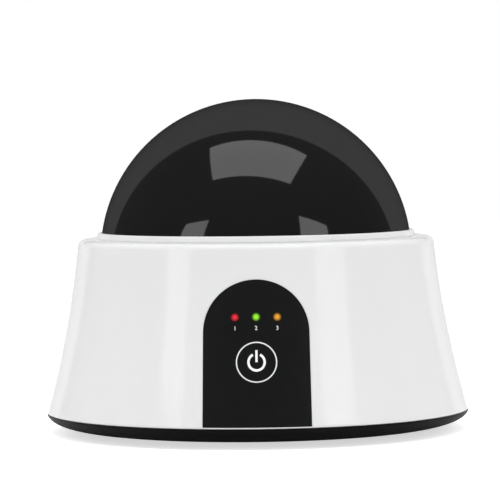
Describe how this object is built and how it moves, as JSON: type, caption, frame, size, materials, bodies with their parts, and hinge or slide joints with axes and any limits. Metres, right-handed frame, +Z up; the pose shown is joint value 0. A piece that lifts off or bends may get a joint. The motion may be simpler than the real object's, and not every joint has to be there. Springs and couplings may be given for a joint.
{
  "type": "gel polish remover machine",
  "caption": "Table-top steamer that loosens gel nail polish: flared round housing with an arched control panel, finger holes in the side and a lift-off dome.",
  "frame": {"origin": "on the table, under the middle of the machine", "axes": "+Z up; the control panel faces -Y; the finger holes and the power inlet face +Y"},
  "size_m": [0.2114, 0.2117, 0.1653],
  "materials": {
    "dome": "polished, dark smoked",
    "white_gloss": "satin gloss, moulded",
    "black_pan": "fine matt moulded texture",
    "foot_rubber": "matt",
    "steel": "zinc plated",
    "panel_gloss": "polished overlay",
    "light_ring": "translucent, polished",
    "button_gloss": "polished",
    "black_matt": "matt",
    "lamp_red": "clear tinted light pipe",
    "lamp_green": "clear tinted light pipe",
    "lamp_amber": "clear tinted light pipe",
    "board": "solder mask",
    "cream_matt": "matt",
    "bowl_grey": "satin",
    "guard_rubber": "soft, matt",
    "rest_grey": "satin",
    "tray_aluminium": "spun, satin",
    "seal_rubber": "matt silicone",
    "heater_ceramic": "insulating film",
    "capacitor_sleeve": "shrink sleeve",
    "sink_aluminium": "extruded",
    "brass": "plated"
  },
  "bodies": {
    "housing": {"body_shell": "white_gloss", "base_pan": "black_pan", "rubber_feet": "foot_rubber", "case_screws": "steel", "control_panel": "panel_gloss", "light_ring": "light_ring", "heat_lamp": "lamp_red", "steam_lamp": "lamp_green", "warm_lamp": "lamp_amber", "button_board": "board", "tact_switch": "black_matt", "lamp_chips": "cream_matt", "board_connector": "cream_matt", "button_board_screws": "steel", "chamber_bowl": "bowl_grey", "bowl_screws": "steel", "finger_guard": "guard_rubber", "heating_tray": "tray_aluminium", "tray_seal": "seal_rubber", "tray_bracket": "steel", "bracket_screws": "steel", "heating_element": "heater_ceramic", "heater_clamp": "steel", "clamp_screws": "steel", "thermostat": "steel", "thermal_fuse": "cream_matt", "main_board": "board", "board_capacitors": "capacitor_sleeve", "board_transistor": "black_matt", "board_heatsink": "sink_aluminium", "board_sockets": "cream_matt", "board_buzzer": "black_matt", "main_board_screws": "steel", "power_inlet": "black_matt", "inlet_nut": "steel", "inlet_pin": "brass"},
    "lid": {"dome_cover": "dome", "dome_ring": "white_gloss"},
    "finger_plate": {"finger_rest": "rest_grey"},
    "button": {"power_button": "button_gloss", "switch_plunger": "black_matt"}
  },
  "joints": [
    {"name": "lid_lift", "type": "slide", "parent": "housing", "child": "lid", "axis": [0, 0, 1], "range_m": [0, 0.1]},
    {"name": "rest_lift", "type": "slide", "parent": "housing", "child": "finger_plate", "axis": [0, 0, 1], "range_m": [0, 0.03]},
    {"name": "button_press", "type": "slide", "parent": "housing", "child": "button", "axis": [0, 0.9747, -0.2234], "range_m": [0, 0.0005], "stiffness_N_per_m": 3000}
  ]
}
